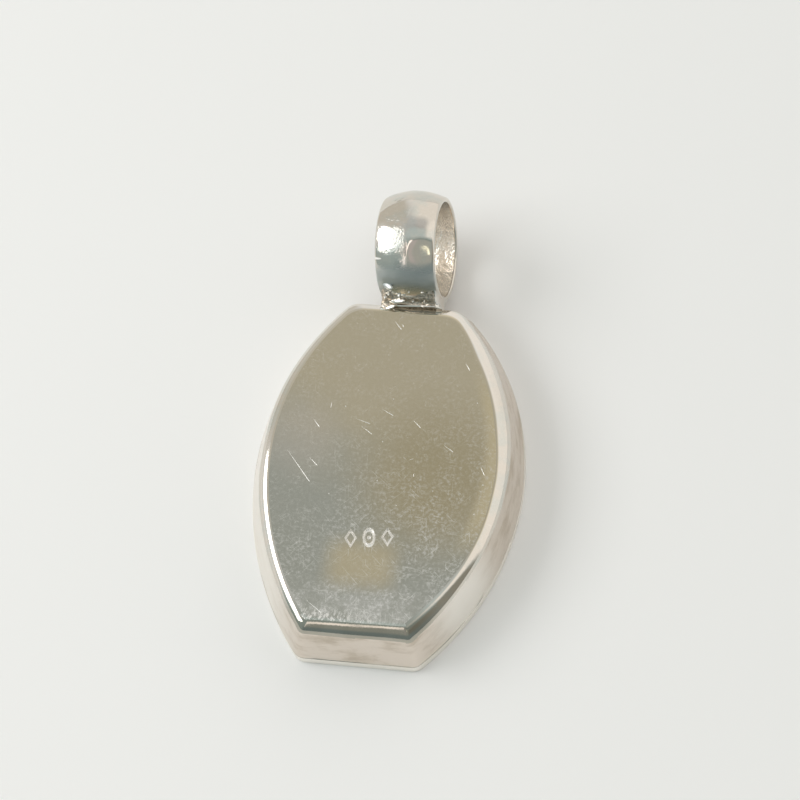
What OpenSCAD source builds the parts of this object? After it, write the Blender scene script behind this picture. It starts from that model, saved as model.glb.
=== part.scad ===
// Silver pendant with a barrel-shaped closed back, a stone slab set in its front and a
// domed bail. It lies on its front rim: +Z comes out of the back plate, +Y runs to the bail.

/* [Back plate] */
// Length of the flat back plate, from its foot to the bail end
plate_len = 25.6; // [22:0.1:30]
// Width of the flat back plate where it is widest
plate_w = 17.2; // [15:0.1:20]
// How far the widest place lies from the middle, towards the bail
widest_up = 0.65; // [0:0.05:1]
// Radius of both sides of the plate above their widest place
upper_side_r = 17.9; // [17.5:0.1:24]
// Radius of the right side below its widest place, seen from the back
foot_right_r = 19.7; // [18.5:0.1:26]
// Radius of the left side below its widest place: cut by hand, it is the flatter one
foot_left_r = 22.4; // [18.5:0.1:26]
// Corner radius of the plate at the bail end
top_corner_r = 1.8; // [0.5:0.1:2.4]
// Corner radius of the plate at the foot
foot_corner_r = 0.3; // [0.2:0.1:1.5]

/* [Wall] */
// Thickness of the pendant, from the front rim to the back plate
depth = 4.7; // [4:0.1:6]
// Radius of the shoulder that rounds the back plate into the wall
shoulder_r = 0.95; // [0.6:0.05:1.2]
// How far the wall leans outwards towards the front, in degrees
wall_lean = 16; // [10:1:20]
// Corner radius at the front rim
front_corner_r = 1.1; // [0.8:0.1:2.4]
// Height of the rim band that the wall is soldered to
rim_h = 0.95; // [0.7:0.05:1.3]
// Width and depth of the solder seam above the rim band
seam = 0.07; // [0.04:0.01:0.12]
// Radius on the outer edge of the rim
rim_edge_r = 0.15; // [0.1:0.01:0.25]

/* [Stone seat] */
// Thickness of the silver behind the stone
floor_t = 0.9; // [0.7:0.05:1.2]
// How far the seat for the stone widens from its floor to the lip
seat_flare = 0.8; // [0.6:0.05:0.9]
// How far below the rim's face the seat is widest
lip_h = 0.6; // [0.4:0.05:0.8]
// How far the burnished lip leans in over the stone
lip_over = 0.18; // [0.1:0.01:0.25]

/* [Stone] */
// Clearance round the sides of the stone
stone_gap = 0.05; // [0.03:0.01:0.1]
// Height of the stone's edge above the surface that the rim rests on
stone_edge_z = 0.32; // [0.25:0.01:0.4]
// Width of the bevel round the stone's front face
stone_bevel = 0.25; // [0.15:0.05:0.4]
// Clearance of the middle of the domed front from that surface
crown_z = 0.12; // [0.08:0.01:0.2]

/* [Bail] */
// Outer radius of the bail at its two open ends
bail_end_r = 4.05; // [3.9:0.01:4.1]
// How much higher the middle of the domed band stands than its ends
bail_dome = 0.55; // [0.3:0.05:0.6]
// Length of the bail along its hole
bail_w = 4.7; // [4:0.05:5.5]
// Radius of the hole that a chain or cord goes through
bore_r = 3.68; // [3.4:0.01:3.75]
// Distance from the middle of the plate to the middle of the bail
bail_up = 18.45; // [18.3:0.05:19]
// Height of the middle of the bail above the rim's face
bail_z = 4.65; // [4.65:0.05:5]
// How far the middle of the bail sits to the right of the plate's middle line
bail_side = 0.25; // [0:0.05:0.3]
// How far the bail is rolled, as it was soldered by hand, in degrees
bail_roll = 7; // [0:0.5:8]

/* [Neck] */
// Width of the neck at its waist
neck_waist = 4.55; // [3.6:0.05:4.6]
// Width of the neck where it spreads on the wall
neck_foot = 5.6; // [5:0.1:6]
// Width of the neck where it runs into the bail
neck_top = 4.65; // [4.2:0.05:4.65]
// Radius of the hollow in each side of the neck
neck_hollow_r = 1.3; // [1:0.1:1.5]
// How far the middle of those hollows lies past the end of the plate
neck_out = 1.3; // [1.1:0.1:1.6]
// Height of the neck's underside above the rim's face
neck_low = 1.4; // [1.2:0.1:2.6]
// Height of the neck's upper edge, where it meets the bail
neck_high = 6.1; // [5.6:0.1:6.4]
// Height of the neck's upper face where it starts on the shoulder
neck_step = 4.8; // [4.2:0.05:4.9]

/* [Hidden] */
silver = [0.80, 0.79, 0.74];
shell_orange = [0.80, 0.33, 0.17];

// Steps of each corner, of each half of a side, of the shoulder and of the stone's dome
corner_steps = 6;
side_steps = 12;
shoulder_steps = 6;
dome_steps = 4;
// The dome's innermost ring, as a share of the stone's outline
dome_heart = 0.2;
// How far the neck starts past the plate's end, inside the wall, clear of the stone's seat
neck_root = 0.6;
// How far the neck runs past the bail's inner wall, where the hole then trims it
neck_bite = 1.6;
// Steps of the neck's upper face between the shoulder and the bail
neck_rise = 0.3;
neck_run = 0.4;

half_len = plate_len / 2;
shoulder_turn = 90 - wall_lean;
shoulder_low = depth - shoulder_r * (1 - cos(shoulder_turn));
seam_top = rim_h + seam;
flare = shoulder_r * sin(shoulder_turn) + (shoulder_low - rim_h) * tan(wall_lean);
seat_z = depth - floor_t;
bail_r = bail_end_r + bail_dome;
dome_r = (pow(bail_w / 2, 2) + pow(bail_dome, 2)) / (2 * bail_dome);

// The bounding box is centred on the origin in X and Y, so the body moves down
foot_y = -(half_len + flare);
top_y = bail_up + bail_r;
body_y = -(foot_y + top_y) / 2;

// The corner radius goes from the plate's own to the front's as the outline grows
function corner_r(start_r, growth) = start_r + (front_corner_r - start_r) * growth / flare;

// X of the middle of a side's arc
function side_x(side_r) = plate_w / 2 - side_r;
// Middle of the corner arc at one end: end is 1 at the bail and -1 at the foot
function corner_y(growth, r, end) = end * (half_len + growth - r);
function corner_x(growth, r, end, side_r) =
    side_x(side_r)
    + sqrt(pow(side_r + growth - r, 2) - pow(corner_y(growth, r, end) - widest_up, 2));
// Direction from the side arc's middle to the place where a corner runs into the side
function corner_turn(growth, r, end, side_r) =
    atan2(corner_y(growth, r, end) - widest_up,
          corner_x(growth, r, end, side_r) - side_x(side_r));

function on_arc(x, y, r, turn) = [x + r * cos(turn), y + r * sin(turn)];

// Corner arc at one end, from one direction to another
function corner(growth, r, end, side_r, start, finish) =
    [for (i = [0:corner_steps])
        on_arc(corner_x(growth, r, end, side_r), corner_y(growth, r, end), r,
               start + (finish - start) * i / corner_steps)];

// Part of a side, without its first and last point
function side(growth, side_r, start, finish) =
    [for (i = [1:side_steps - 1])
        on_arc(side_x(side_r), widest_up, side_r + growth,
               start + (finish - start) * i / side_steps)];

// Right half of the outline, from the foot to the bail end
function half_outline(growth, foot_side_r) =
    let (foot_r = corner_r(foot_corner_r, growth),
         top_r = corner_r(top_corner_r, growth),
         foot_turn = corner_turn(growth, foot_r, -1, foot_side_r),
         top_turn = corner_turn(growth, top_r, 1, upper_side_r))
    concat(corner(growth, foot_r, -1, foot_side_r, -90, foot_turn),
           side(growth, foot_side_r, foot_turn, 0),
           [[plate_w / 2 + growth, widest_up]],
           side(growth, upper_side_r, 0, top_turn),
           corner(growth, top_r, 1, upper_side_r, top_turn, 90));

// The whole outline, grown outwards from the plate's edge
function outline(growth) =
    let (right = half_outline(growth, foot_right_r),
         left = half_outline(growth, foot_left_r),
         last = len(left) - 1)
    concat(right, [for (i = [last:-1:0]) [-left[i][0], left[i][1]]]);

function ring(points, z) = [for (p = points) [p[0], p[1], z]];

// Closed solid through rings of equally many points, from the first ring to the last
module loft(rings) {
    count = len(rings[0]);
    points = [for (r = rings) for (p = r) p];
    first_cap = [for (i = [0:count - 1]) i];
    last_cap = [for (i = [count - 1:-1:0]) (len(rings) - 1) * count + i];
    sides = [for (k = [0:len(rings) - 2]) for (i = [0:count - 1])
        let (a = k * count + i, b = k * count + (i + 1) % count)
        each [[a, a + count, b + count], [a, b + count, b]]];
    polyhedron(points = points, faces = concat([first_cap, last_cap], sides), convexity = 6);
}

// Back plate, shoulder, wall and rim in one tray, hollow for the stone
module tray() {
    // Columns: growth of the outline, height
    seat = [[0, seat_z], [seat_flare, lip_h], [seat_flare - lip_over, 0]];
    rim = [[flare - rim_edge_r, 0],
           [flare - rim_edge_r * (1 - sin(45)), rim_edge_r * (1 - cos(45))],
           [flare, rim_edge_r],
           [flare, rim_h - seam],
           [flare - seam, rim_h],
           [flare - seam * tan(wall_lean), seam_top]];
    shoulder = [for (i = [shoulder_steps:-1:0])
        let (turn = shoulder_turn * i / shoulder_steps)
        [shoulder_r * sin(turn), depth - shoulder_r * (1 - cos(turn))]];
    loft([for (row = concat(seat, rim, shoulder)) ring(outline(row[0]), row[1])]);
}

// Domed band, lying along X before it is rolled into place. The hole then trims its inside.
module bail_band() {
    wall = bail_r - bore_r;
    rotate([0, 90, 0])
        rotate_extrude($fn = 96)
            intersection() {
                translate([bail_r - dome_r, 0]) circle(r = dome_r, $fn = 180);
                translate([bore_r - wall / 2, -bail_w / 2]) square([2 * wall, bail_w]);
            }
}

module bail_hole() {
    rotate([0, 90, 0]) cylinder(r = bore_r, h = 2 * bail_w, center = true, $fn = 96);
}

// Rolls what follows with the bail, about a line through the bail's middle along the plate
module rolled() {
    translate([bail_side, 0, bail_z]) rotate([0, -bail_roll, 0]) children();
}

module at_bail() {
    rolled() translate([0, bail_up, 0]) children();
}

// Short block of solder and wire between the wall and the bail, with a round hollow in each side
module neck() {
    root = half_len + neck_root;
    tip = bail_up - bore_r + neck_bite;
    waist_at = half_len + neck_out;
    // Seen from the side: distance from the plate's middle, height
    side_view = [[root + neck_run, neck_low], [tip, neck_low], [tip, neck_high], [waist_at, neck_high],
                 [waist_at - neck_run, neck_step + neck_rise], [root, neck_step]];
    rolled() translate([0, 0, -bail_z]) intersection() {
        translate([-neck_foot, 0, 0])
            rotate([90, 0, 90]) linear_extrude(2 * neck_foot) polygon(side_view);
        linear_extrude(2 * neck_high) neck_from_back(root, tip, waist_at);
    }
}

module neck_from_back(root, tip, waist_at) {
    difference() {
        union() {
            translate([-neck_foot / 2, root]) square([neck_foot, waist_at - root]);
            translate([-neck_top / 2, root]) square([neck_top, tip - root]);
        }
        for (side = [-1, 1])
            translate([side * (neck_waist / 2 + neck_hollow_r), waist_at])
                circle(r = neck_hollow_r, $fn = 96);
    }
}

module setting() {
    color(silver) translate([0, body_y, 0]) {
        difference() {
            union() {
                tray();
                neck();
                at_bail() bail_band();
            }
            at_bail() bail_hole();
        }
    }
}

module stone() {
    edge = outline(seat_flare - stone_gap - stone_bevel);
    dome = [for (i = [0:dome_steps - 1])
        let (share = dome_heart + (1 - dome_heart) * i / dome_steps)
        [for (p = edge) [p[0] * share, p[1] * share,
                         crown_z + (stone_edge_z - crown_z) * pow(share, 2)]]];
    side = [ring(edge, stone_edge_z),
            ring(outline(seat_flare - stone_gap), lip_h + stone_gap),
            ring(outline(-stone_gap), seat_z)];
    color(shell_orange) translate([0, body_y, 0]) loft(concat(dome, side));
}

setting();
stone();
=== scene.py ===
"""A silver pendant with a closed barrel-shaped back, a domed bail and a shell slab, on a pale table."""

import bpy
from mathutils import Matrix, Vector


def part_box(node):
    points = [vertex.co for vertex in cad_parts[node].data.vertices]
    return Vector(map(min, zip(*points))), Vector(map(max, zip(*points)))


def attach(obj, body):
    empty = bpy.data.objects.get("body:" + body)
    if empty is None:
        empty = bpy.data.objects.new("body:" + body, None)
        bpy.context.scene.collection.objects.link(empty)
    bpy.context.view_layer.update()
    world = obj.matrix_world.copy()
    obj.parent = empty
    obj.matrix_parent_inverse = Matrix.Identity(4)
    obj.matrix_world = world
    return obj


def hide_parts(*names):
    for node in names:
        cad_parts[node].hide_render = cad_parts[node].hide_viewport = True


bl_info = {
    "name": "Spiny Oyster Pendant",
    "version": (1, 0, 0),
    "blender": (4, 5, 0),
    "location": "3D View > Sidebar > Pendant",
    "description": "Models a silver pendant with a closed back, a domed bail and a shell slab",
    "category": "Add Mesh",
}

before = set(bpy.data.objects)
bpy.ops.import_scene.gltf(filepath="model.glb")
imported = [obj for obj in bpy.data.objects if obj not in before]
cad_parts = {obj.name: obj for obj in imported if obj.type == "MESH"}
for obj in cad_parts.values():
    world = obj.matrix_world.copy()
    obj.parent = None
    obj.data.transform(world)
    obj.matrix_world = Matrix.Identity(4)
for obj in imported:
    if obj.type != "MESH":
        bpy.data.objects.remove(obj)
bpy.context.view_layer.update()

import math
from types import SimpleNamespace

import bmesh
import bpy
from bpy.props import FloatProperty, FloatVectorProperty, PointerProperty
from mathutils import Matrix, Vector, noise

# Everything is drawn in millimetres and brought to metres when it is finished
MM = 0.001
RIGHT_ANGLE = math.pi / 2
# Share by which a solid's volume may be off when it is checked
VOLUME_SLACK = 0.001

# Slots of the silver piece, in the order in which every silver part carries them
SILVERS = ("back_silver", "polished_silver", "satin_silver", "cast_silver", "struck_silver")
BACK, POLISHED, SATIN, CAST, STRUCK = range(len(SILVERS))

# Scratches on the back that are deep enough to be cut.
# Columns: X and Y of the middle from the plate's middle, length, direction in degrees
SCRATCHES = [
    (-0.4, 11.8, 1.0, -48),
    (0.0, 11.8, 0.3, -60),
    (5.4, 8.7, 0.8, -57),
    (-0.3, 4.4, 1.2, -27),
    (2.1, 3.6, 0.9, -43),
    (-2.1, 3.5, 1.4, -17),
    (-1.7, 2.8, 1.2, -34),
    (-6.6, -0.4, 3.7, -50),
    (-5.4, -0.1, 1.1, -43),
    (-5.6, 3.1, 1.0, -49),
    (-4.6, 4.7, 0.6, -93),
    (4.7, 1.8, 1.1, -33),
    (2.0, 0.6, 0.4, 24),
    (2.4, -0.6, 0.3, -89),
    (7.5, 0.2, 0.9, -61),
    (-3.8, -11.7, 1.9, -36),
]
# Small pits on the back. Columns: X and Y from the plate's middle, radius
PITS = [
    (0.1, 5.5, 0.05),
    (-0.3, 1.9, 0.05),
    (1.4, -3.2, 0.06),
    (-0.3, -1.3, 0.05),
    (6.5, 5.7, 0.05),
    (4.0, -1.8, 0.05),
    (7.3, -3.4, 0.05),
    (7.7, -1.0, 0.06),
    (-3.5, 4.6, 0.06),
    (-3.8, -2.7, 0.05),
]


def place(name, description, millimetres, **limits):
    """A distance from the middle line or the floor, which may also be negative"""
    return FloatProperty(
        name=name, description=description, default=millimetres * MM, unit="LENGTH", precision=5, **limits
    )


def length(name, description, millimetres):
    """A size that Blender shows in the scene's unit of length"""
    return place(name, description, millimetres, min=0)


def turn(name, description, degrees):
    """An angle that Blender shows in degrees"""
    return FloatProperty(name=name, description=description, default=math.radians(degrees), unit="ROTATION")


def colour(name, description, rgb):
    """A colour, as red, green and blue"""
    return FloatVectorProperty(
        name=name, description=description, default=rgb, min=0, max=1, size=3, subtype="COLOR"
    )


class TraySizes(bpy.types.PropertyGroup):
    """Back plate, shoulder, wall, rim and stone seat"""

    plate_len: length("Plate length", "Back plate from its foot to the bail end", 25.6)
    plate_w: length("Plate width", "Back plate where it is widest", 17.2)
    widest_up: place("Widest place", "From the plate's middle towards the bail", 0.65)
    upper_side_r: length("Upper side radius", "Both sides above their widest place", 17.9)
    foot_right_r: length("Right side radius", "Right side below its widest place", 19.7)
    foot_left_r: length("Left side radius", "Left side below its widest place", 22.4)
    top_corner_r: length("Top corner radius", "Plate's corners at the bail end", 1.8)
    foot_corner_r: length("Foot corner radius", "Plate's corners at the foot", 0.3)
    front_corner_r: length("Front corner radius", "Corners at the front rim", 1.1)
    depth: length("Depth", "From the front rim to the back plate", 4.7)
    shoulder_r: length("Shoulder radius", "Rounds the back plate into the wall", 0.95)
    foot_shoulder_r: length("Foot shoulder radius", "The same at the foot, where it is rounder", 1.3)
    foot_reach: length("Foot reach", "How far up from the foot the shoulder is rounder", 6.2)
    wall_lean: turn("Wall lean", "How far the wall leans outwards to the front", 16)
    rim_h: length("Rim height", "Band that the wall is soldered to", 0.95)
    seam: length("Seam", "Width and depth of the solder seam above the rim", 0.035)
    rim_edge_r: length("Rim edge radius", "Outer edge of the rim", 0.15)
    floor_t: length("Floor", "Silver behind the stone", 0.9)
    seat_flare: length("Seat flare", "How far the stone's seat widens to its lip", 0.8)
    lip_h: length("Lip height", "Where the seat is widest", 0.6)
    lip_over: length("Lip lean", "How far the burnished lip leans over the stone", 0.18)
    hand_wear: length("Hand wear", "Deepest hollow that filing by hand left in the wall", 0.07)
    hand_size: length("Hand wear size", "Size of those hollows", 4.5)


class BailSizes(bpy.types.PropertyGroup):
    """Domed band that the chain goes through"""

    width: length("Width", "Along the hole", 4.7)
    end_r: length("End radius", "Outer radius at the two open ends", 4.05)
    dome: length("Dome", "How much higher the band's middle stands", 0.55)
    bore_r: length("Hole radius", "Hole for a chain or cord", 3.68)
    up: place("Up", "From the plate's middle to the bail's middle", 18.45)
    height: place("Height", "Middle of the bail above the front rim", 4.65)
    side: place("Side", "Bail's middle to the right of the plate's middle line", 0.25)
    roll: turn("Roll", "How far the bail was rolled when it was soldered", 7)
    rim_round: length("Rim rounding", "Rounded edges at the open ends", 0.13)
    hammer_size: length("Hammer mark size", "Size of the soft marks on the band", 1.6)
    hammer_depth: length("Hammer mark depth", "Depth of the soft marks on the band", 0.045)
    cast_size: length("Casting grain", "Size of the lumps inside the band", 0.35)
    cast_depth: length("Casting depth", "Depth of the lumps inside the band", 0.05)
    nick_turn: turn("Nick place", "Turn of the nick in the left rim, from the top towards the plate", 38)
    nick_w: length("Nick width", "Nick that a cutter left in the left rim", 0.36)
    nick_l: length("Nick length", "How far the nick runs onto the band", 0.85)


class NeckSizes(bpy.types.PropertyGroup):
    """Short lump of wire and solder between the wall and the bail"""

    waist: length("Waist", "Width at the waist", 4.55)
    foot: length("Foot", "Width where it spreads on the wall", 5.6)
    top: length("Top", "Width where it runs into the bail", 4.65)
    root: length("Root", "Where its upper face starts, past the plate's end", 0.55)
    root_slant: length("Root slant", "How much further out its underside starts", 0.4)
    waist_out: length("Waist place", "Distance of the waist from the plate's end", 1.3)
    low: length("Underside", "Height of its underside", 1.4)
    ledge: length("Ledge", "Height of the ledge that it starts with, on the shoulder", 4.85)
    groove: length("Groove", "Depth of the groove behind the ledge", 0.16)
    high: length("Upper edge", "Height where it meets the bail", 6.1)
    high_out: length("Upper edge place", "Distance of that edge from the plate's end", 1.6)
    bite: length("Bite", "How far it reaches into the bail's wall, from the hole", 0.17)
    melt: length("Melt", "How finely the drops and the lump are melted together", 0.055)
    lump_size: length("Lump size", "Size of the lumps of solder", 0.40)
    lump_depth: length("Lump depth", "Depth of the lumps of solder", 0.15)


class MarkSizes(bpy.types.PropertyGroup):
    """Row of three plain punch marks on the back"""

    height: length("Height", "Height of each mark", 1.6)
    width: length("Width", "Width of each mark", 1.1)
    pitch: length("Pitch", "From mark to mark", 1.38)
    stroke: length("Stroke", "Width of a struck line", 0.34)
    up: place("Up", "Middle of the row from the plate's middle", -5.96)
    side: place("Side", "Middle of the row from the plate's middle line", -0.3)
    tilt: turn("Tilt", "How far the row is turned", 7)


class ShellSizes(bpy.types.PropertyGroup):
    """Slab of spiny oyster shell in the front"""

    gap: length("Gap", "Clearance round the slab", 0.05)
    edge_z: length("Edge height", "Slab's edge above the rim's face", 0.32)
    bevel: length("Bevel", "Bevel round the front face", 0.25)
    crown_z: length("Crown height", "Middle of the domed front above the rim's face", 0.12)


class Finish(bpy.types.PropertyGroup):
    """Colours of the metal and the shell"""

    clean: colour("Clean silver", "Freshly rubbed silver", (0.90, 0.87, 0.82))
    struck: colour("Struck silver", "Bare metal in marks and scratches", (0.97, 0.95, 0.92))
    polish: colour("Polished silver", "Shoulder and band", (0.72, 0.67, 0.60))
    haze: colour("Grey haze", "Thin grey tarnish on the band", (0.62, 0.64, 0.60))
    khaki: colour("Khaki tarnish", "Warm tarnish on the back", (0.60, 0.53, 0.38))
    brown: colour("Brown tarnish", "Darker tarnish right of the back's middle", (0.50, 0.43, 0.28))
    yellow: colour("Yellow tarnish", "Yellow edge at the back's right side", (0.69, 0.59, 0.39))
    cool: colour("Cool tarnish", "Grey-green tarnish on the back", (0.465, 0.465, 0.40))
    satin: colour("Satin silver", "Soft silver of the wall", (0.77, 0.69, 0.61))
    satin_dark: colour("Satin stain", "Grey patches on the wall", (0.61, 0.53, 0.44))
    # On the rim and low on the right wall this paler colour is a painted brighter reflection
    pale_satin_and_sheen: colour("Pale satin", "Cleaner silver of the rim and the left side", (0.97, 0.93, 0.87))
    cast: colour("Cast silver", "Inside of the band", (0.98, 0.96, 0.93))
    copper: colour("Copper tarnish", "Warm tarnish low inside the band", (1.00, 0.91, 0.80))
    # Painted shade: this darkens the far part of the band's inside
    far_inside_shade: colour("Dull silver", "Far part of the band's inside", (0.60, 0.58, 0.54))
    solder: colour("Solder", "Dark solder of the neck", (0.53, 0.465, 0.385))
    # Painted reflection: this dark teal on the band's lower front stands in for the dark things in front of
    # it
    joint_dark_reflection: colour("Joint tarnish", "Dark tarnish on the band next to its joint", (0.46, 0.49, 0.48))
    # Painted shade: this darkens the shoulder's foot in place of the dark front that it reflects
    foot_dark_reflection: colour("Foot tarnish", "Dark tarnish on the shoulder's foot", (0.46, 0.44, 0.38))
    # Soot in the casting's hollows; on the shoulder's foot this is painted shade
    soot_and_shade: colour("Soot", "Dark tarnish in hollows of the casting", (0.24, 0.22, 0.17))
    shell_deep: colour("Shell red", "Deep bands of the shell", (0.50, 0.07, 0.03))
    shell_mid: colour("Shell orange", "Main colour of the shell", (0.78, 0.20, 0.06))
    shell_pale: colour("Shell cream", "Pale streaks of the shell", (0.90, 0.62, 0.42))


class Studio(bpy.types.PropertyGroup):
    """Camera, table and light"""

    look_side: place("Look at X", "Point that the camera looks at", 0.593)
    look_up: place("Look at Y", "Point that the camera looks at", 1.234)
    look_height: place("Look at Z", "Point that the camera looks at", 4.7)
    distance: length("Distance", "Camera from that point", 227.68)
    azimuth: turn("Azimuth", "Camera round the pendant, from its foot to the right", 18.344)
    elevation: turn("Elevation", "Camera above the table", 64.51)
    roll: turn("Roll", "Camera turned about its view", -12.263)
    view: turn("View", "Angle that the picture takes in", 15.242)
    table: length("Table", "Width of the table", 4000)
    pale: colour("Table colour", "Pale table and what lies behind it", (0.95, 0.94, 0.93))


def drawn(context, name):
    """The values of one group, with lengths in millimetres"""
    group = getattr(context.scene, "pendant_" + name)
    values = {}
    for key in type(group).__annotations__:
        value = getattr(group, key)
        is_length = getattr(group.bl_rna.properties[key], "unit", "NONE") == "LENGTH"
        values[key] = value / MM if is_length else value
    return SimpleNamespace(**values)


def spread(start, finish, steps):
    """Evenly spaced values from start to finish, both included"""
    return [start + (finish - start) * i / steps for i in range(steps + 1)]


def limited(value, least=0.0, most=1.0):
    return min(max(value, least), most)


def eased(part):
    """A part from 0 to 1 that starts and ends softly"""
    return part * part * (3 - 2 * part)


class Outline:
    """The plate's barrel-shaped outline, and how it grows towards the front"""

    CORNER_STEPS = 10
    SIDE_STEPS = 36
    END_STEPS = 10
    # The shoulder's rounder foot: how far up it runs on the left, and how much rounder it gets for
    # each millimetre to the right, as far as the last of these from the middle line
    LEFT_REACH = 0.6
    FOOT_SKEW = 0.06
    SKEW_REACH = 4
    # The right shoulder is rounder again towards the bail. Columns: up from the foot's edge, share
    RIGHT_SHARES = ((8.0, 0.0), (12.0, 0.45), (17.0, 1.35), (22.5, 1.45), (25.6, 0.3), (27.5, 0.0))

    def __init__(self, context):
        tray = self.tray = drawn(context, "tray")
        self.half_len = tray.plate_len / 2
        self.shoulder_turn = RIGHT_ANGLE - tray.wall_lean
        shoulder_low = tray.depth - tray.shoulder_r * (1 - math.cos(self.shoulder_turn))
        self.flare = tray.shoulder_r * math.sin(self.shoulder_turn)
        self.flare += (shoulder_low - tray.rim_h) * math.tan(tray.wall_lean)
        self.seat_z = tray.depth - tray.floor_t
        self.body_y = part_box("setting")[0].y / MM + self.half_len + self.flare
        self.foot_y = self.body_y - self.half_len
        self.top_y = self.body_y + self.half_len

    def corner(self, growth, start_r, end, side_r):
        """Middle and radius of a corner's arc at one end, 1 at the bail and -1 at the foot, and the
        direction in which it runs into the side"""
        tray = self.tray
        radius = start_r + (tray.front_corner_r - start_r) * growth / self.flare
        side_x = tray.plate_w / 2 - side_r
        y = end * (self.half_len + growth - radius)
        reach = side_r + growth - radius
        x = side_x + math.sqrt(reach**2 - (y - tray.widest_up) ** 2)
        return x, y, radius, math.atan2(y - tray.widest_up, x - side_x)

    def half(self, growth, foot_side_r):
        """Right half of the outline, from the foot to the bail end"""
        tray = self.tray
        *foot, foot_turn = self.corner(growth, tray.foot_corner_r, -1, foot_side_r)
        *top, top_turn = self.corner(growth, tray.top_corner_r, 1, tray.upper_side_r)
        arcs = [(*foot, -RIGHT_ANGLE, foot_turn, self.CORNER_STEPS)]
        for side_r, start, finish in ((foot_side_r, foot_turn, 0), (tray.upper_side_r, 0, top_turn)):
            side_x = tray.plate_w / 2 - side_r
            arcs.append((side_x, tray.widest_up, side_r + growth, start, finish, self.SIDE_STEPS))
        arcs.append((*top, top_turn, RIGHT_ANGLE, self.CORNER_STEPS))
        points = []
        for x, y, radius, start, finish, steps in arcs:
            angles = spread(start, finish, steps)
            if points:
                # The arc before it has already drawn its first point
                angles = angles[1:]
            points += [(x + radius * math.cos(a), y + radius * math.sin(a)) for a in angles]
        return points

    def points(self, growth):
        """The whole outline, grown outwards from the plate's edge"""
        right = self.half(growth, self.tray.foot_right_r)
        left = [(-x, y) for x, y in reversed(self.half(growth, self.tray.foot_left_r))]
        whole = []
        for side, next_side in ((right, left), (left, right)):
            end = spread(side[-1][0], next_side[0][0], self.END_STEPS)[1:-1]
            whole += side + [(x, side[-1][1]) for x in end]
        return whole

    def ring(self, growth, z, wear=0.0):
        """The outline at one height, in the frame's place. Wear is the deepest hollow there."""
        ring = []
        for full, low in zip(self.points(growth), self.points(growth - wear)):
            hollow = limited(0.5 + noise.noise(Vector((*full, z)) / self.tray.hand_size))
            x, y = Vector(full).lerp(Vector(low), hollow)
            ring.append((x, y + self.body_y, z))
        return ring

    def round_share(self, x, rise):
        """How much rounder the shoulder is, at this X and this far up from the foot's edge"""
        reach = self.tray.foot_reach if x > 0 else self.LEFT_REACH
        skew = 1 + self.FOOT_SKEW * limited(x, -self.SKEW_REACH, self.SKEW_REACH)
        share = eased(limited(1 - rise / reach)) * skew
        for (low, low_share), (high, high_share) in zip(self.RIGHT_SHARES, self.RIGHT_SHARES[1:]):
            if x > 0 and low < rise <= high:
                share += low_share + (high_share - low_share) * eased((rise - low) / (high - low))
        return share

    def blended_ring(self, row, foot_row):
        """A ring that follows one row of sizes, and another where the shoulder is rounder"""
        usual_ring = self.ring(*row)
        foot_y = min(y for _, y, _ in usual_ring)
        ring = []
        for usual, at_foot in zip(usual_ring, self.ring(*foot_row)):
            share = self.round_share(usual[0], usual[1] - foot_y)
            ring.append(tuple(Vector(usual).lerp(Vector(at_foot), share)))
        return ring


def clear_selection():
    """An operator acts on all that is selected, and the frame's nodes start out selected"""
    if bpy.context.mode != "OBJECT":
        bpy.ops.object.mode_set(mode="OBJECT")
    bpy.ops.object.select_all(action="DESELECT")


def take(piece, *others):
    """Makes one piece the active one, and selects it and the others but nothing else"""
    clear_selection()
    for chosen in (piece, *others):
        chosen.select_set(True)
    bpy.context.view_layer.objects.active = piece


def rename(piece, name):
    piece.name = name
    piece.data.name = name
    return piece


def name_new(name):
    return rename(bpy.context.object, name)


def settle():
    """Works the place, turn and scale of what is selected into its mesh"""
    bpy.ops.object.transform_apply(location=True, rotation=True, scale=True)


def roll_with_bail(piece, bail, y):
    """Turns a piece as the bail was rolled, and sets it in place"""
    take(piece)
    piece.rotation_euler = (0, -bail.roll, 0)
    piece.location = (bail.side, y, bail.height)
    settle()


def shape_ring(piece, places, order=None):
    """Puts the selected ring of vertices at its new places and returns which vertex is where"""
    mesh = bmesh.from_edit_mesh(piece.data)
    chosen = [v for v in mesh.verts if v.select]
    if len(chosen) != len(places):
        raise RuntimeError(f"{piece.name}: a ring has {len(chosen)} vertices, and {len(places)} places")
    kept = {}
    for i, vertex in enumerate(chosen):
        index = i if order is None else order[tuple(vertex.co)]
        vertex.co = places[index]
        kept[tuple(vertex.co)] = index
    bmesh.update_edit_mesh(piece.data)
    return kept


def loft(name, rings):
    """A closed solid: a filled circle is shaped to the first ring, then extruded from ring to ring"""
    clear_selection()
    bpy.ops.mesh.primitive_circle_add(vertices=len(rings[0]), fill_type="NGON")
    piece = name_new(name)
    bpy.ops.object.mode_set(mode="EDIT")
    order = shape_ring(piece, rings[0])
    for ring in rings[1:]:
        bpy.ops.mesh.extrude_region_move()
        order = shape_ring(piece, ring, order)
    bpy.ops.mesh.select_all(action="SELECT")
    bpy.ops.mesh.normals_make_consistent(inside=False)
    bpy.ops.object.mode_set(mode="OBJECT")
    return piece


def choose_edges(piece, test):
    """Selects, in edit mode, the edges whose two ends pass the test"""
    bpy.ops.mesh.select_mode(type="EDGE")
    bpy.ops.mesh.select_all(action="DESELECT")
    mesh = bmesh.from_edit_mesh(piece.data)
    for edge in mesh.edges:
        if test(edge.verts[0].co, edge.verts[1].co):
            edge.select_set(True)
    bmesh.update_edit_mesh(piece.data)


def material_named(name):
    return bpy.data.materials.get(name) or bpy.data.materials.new(name)


def coat(piece, slot_at):
    """Gives a silver part every silver slot, so that they keep their meaning when parts are fused,
    and each of its faces the slot that its place and direction call for"""
    for name in SILVERS:
        piece.data.materials.append(material_named(name))
    for face in piece.data.polygons:
        face.material_index = slot_at(face.center, face.normal)


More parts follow.
